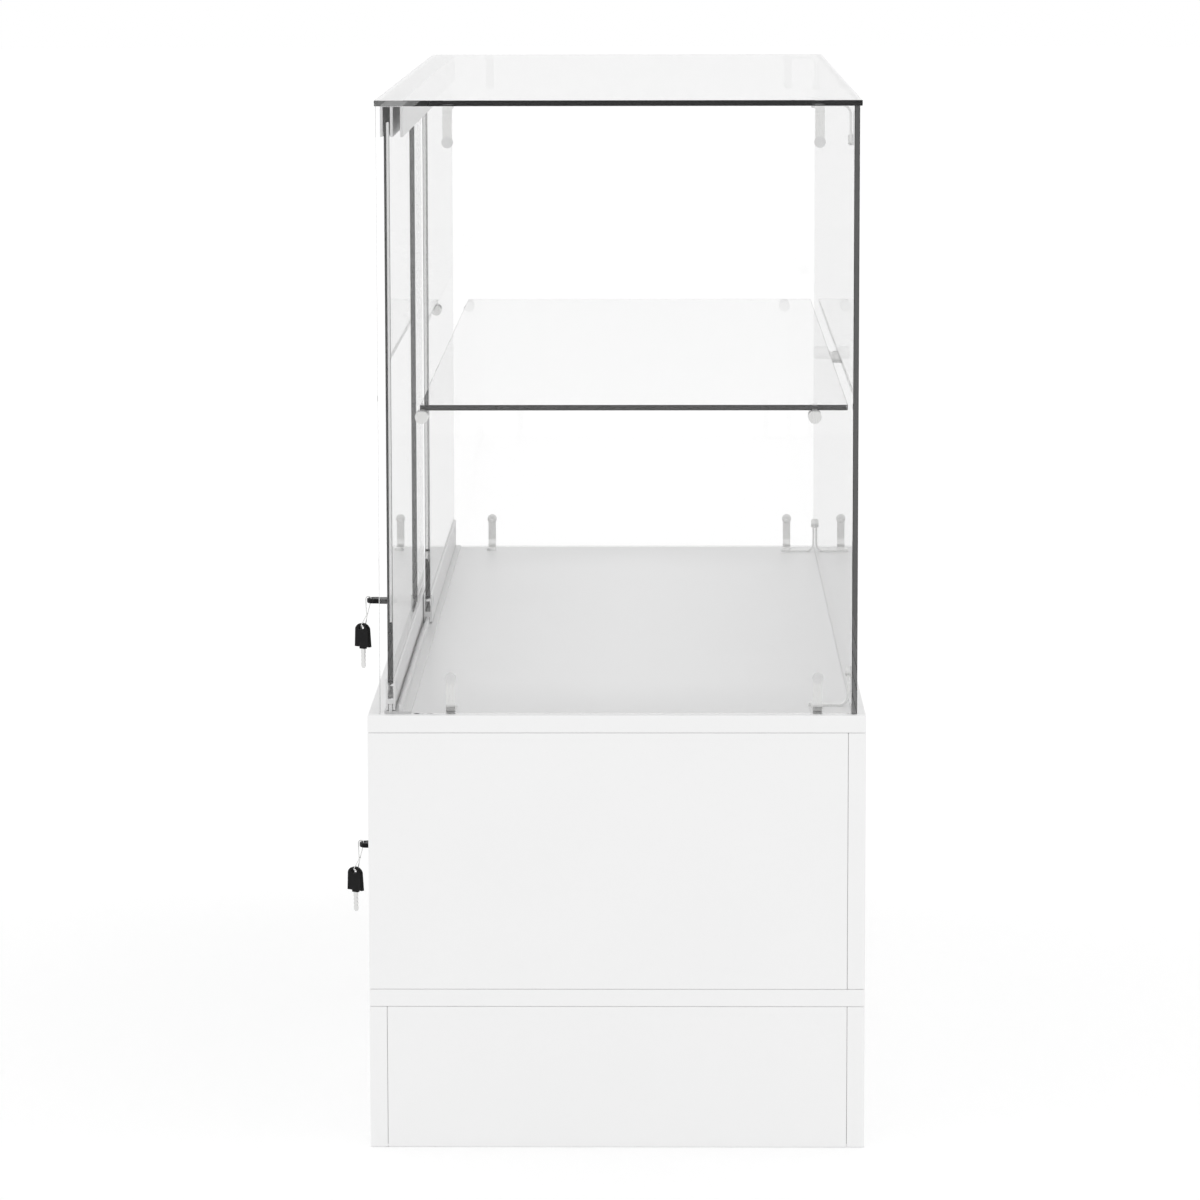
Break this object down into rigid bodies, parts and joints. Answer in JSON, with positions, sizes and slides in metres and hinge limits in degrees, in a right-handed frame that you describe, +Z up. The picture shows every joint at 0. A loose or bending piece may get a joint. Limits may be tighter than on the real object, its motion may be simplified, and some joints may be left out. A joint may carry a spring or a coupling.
{
  "type": "retail display case",
  "caption": "Glass showcase with a glass shelf on a white board cabinet, with sliding glass and board doors, push locks and keys at the back.",
  "frame": {"origin": "centre of the footprint, on the floor", "axes": "+X along the length, +Y towards the doors on the staff side, +Z up"},
  "size_m": [1.2, 0.5066, 0.9515],
  "materials": {
    "white_melamine": "satin melamine-faced board",
    "float_glass": "polished clear float glass",
    "anodised_aluminium": "satin silver anodised",
    "satin_nickel": "satin nickel plate",
    "nickel_steel": "bright nickel plate",
    "black_abs": "moulded satin black",
    "clear_silicone": "clear, soft",
    "beech": "turned, raw",
    "zinc": "die-cast zinc, raw"
  },
  "bodies": {
    "case": {"board_dowels": "beech", "bottom_board": "white_melamine", "bracket_buttons": "satin_nickel", "bracket_pads": "clear_silicone", "bracket_screws": "satin_nickel", "cabinet_bottom_track": "anodised_aluminium", "cabinet_top_track": "anodised_aluminium", "cam_bolts": "zinc", "cam_discs": "zinc", "centre_divider": "white_melamine", "deck_board": "white_melamine", "end_glass_left": "float_glass", "end_glass_right": "float_glass", "end_panel_left": "white_melamine", "end_panel_right": "white_melamine", "front_deck_brackets": "satin_nickel", "front_glass": "float_glass", "front_panel": "white_melamine", "front_top_brackets": "satin_nickel", "left_deck_brackets": "satin_nickel", "left_top_brackets": "satin_nickel", "plinth_back_board": "white_melamine", "plinth_centre_rail": "white_melamine", "plinth_end_left": "white_melamine", "plinth_end_right": "white_melamine", "plinth_front_board": "white_melamine", "right_deck_brackets": "satin_nickel", "right_top_brackets": "satin_nickel", "shelf_glass": "float_glass", "shelf_peg_pads": "clear_silicone", "shelf_pegs": "satin_nickel", "showcase_bottom_track": "anodised_aluminium", "showcase_top_track": "anodised_aluminium", "top_glass": "float_glass"},
    "showcase_door_outer": {"showcase_door_outer_pane": "float_glass", "showcase_door_outer_shoe": "anodised_aluminium", "showcase_lock_housing": "nickel_steel"},
    "showcase_door_inner": {"showcase_door_inner_pane": "float_glass", "showcase_door_inner_shoe": "anodised_aluminium"},
    "showcase_plunger": {"showcase_lock_plunger": "nickel_steel"},
    "showcase_key": {"showcase_lock_plug": "nickel_steel", "showcase_key_blade": "nickel_steel", "showcase_key_head": "black_abs"},
    "showcase_spare_key": {"showcase_key_wire": "nickel_steel", "showcase_spare_key_head": "black_abs", "showcase_spare_key_blade": "nickel_steel"},
    "cabinet_door_outer": {"cabinet_door_outer_pane": "white_melamine", "cabinet_door_outer_shoe": "anodised_aluminium", "cabinet_lock_housing": "nickel_steel"},
    "cabinet_door_inner": {"cabinet_door_inner_pane": "white_melamine", "cabinet_door_inner_shoe": "anodised_aluminium"},
    "cabinet_plunger": {"cabinet_lock_plunger": "nickel_steel"},
    "cabinet_key": {"cabinet_lock_plug": "nickel_steel", "cabinet_key_blade": "nickel_steel", "cabinet_key_head": "black_abs"},
    "cabinet_spare_key": {"cabinet_key_wire": "nickel_steel", "cabinet_spare_key_head": "black_abs", "cabinet_spare_key_blade": "nickel_steel"}
  },
  "joints": [
    {"name": "showcase_outer_slide", "type": "slide", "parent": "case", "child": "showcase_door_outer", "axis": [1, 0, 0], "range_m": [0, 0.5555]},
    {"name": "showcase_inner_slide", "type": "slide", "parent": "case", "child": "showcase_door_inner", "axis": [1, 0, 0], "range_m": [-0.5555, 0]},
    {"name": "showcase_lock_push", "type": "slide", "parent": "showcase_door_outer", "child": "showcase_plunger", "axis": [0, -1, 0], "range_m": [0, 0.006]},
    {"name": "showcase_key_turn", "type": "hinge", "parent": "showcase_plunger", "child": "showcase_key", "pos_m": [0, 0.2546, 0.42], "axis": [0, 1, 0], "range_deg": [0, 45]},
    {"name": "showcase_spare_swing", "type": "hinge", "parent": "showcase_plunger", "child": "showcase_spare_key", "pos_m": [0, 0.2546, 0.42], "axis": [0, 1, 0], "range_deg": [-25, 25]},
    {"name": "cabinet_outer_slide", "type": "slide", "parent": "case", "child": "cabinet_door_outer", "axis": [1, 0, 0], "range_m": [0, 0.5525]},
    {"name": "cabinet_inner_slide", "type": "slide", "parent": "case", "child": "cabinet_door_inner", "axis": [1, 0, 0], "range_m": [-0.5525, 0]},
    {"name": "cabinet_lock_push", "type": "slide", "parent": "cabinet_door_outer", "child": "cabinet_plunger", "axis": [0, -1, 0], "range_m": [0, 0.006]},
    {"name": "cabinet_key_turn", "type": "hinge", "parent": "cabinet_plunger", "child": "cabinet_key", "pos_m": [0, 0.2642, 0.168], "axis": [0, 1, 0], "range_deg": [0, 45]},
    {"name": "cabinet_spare_swing", "type": "hinge", "parent": "cabinet_plunger", "child": "cabinet_spare_key", "pos_m": [0, 0.2642, 0.168], "axis": [0, 1, 0], "range_deg": [-25, 25]}
  ]
}
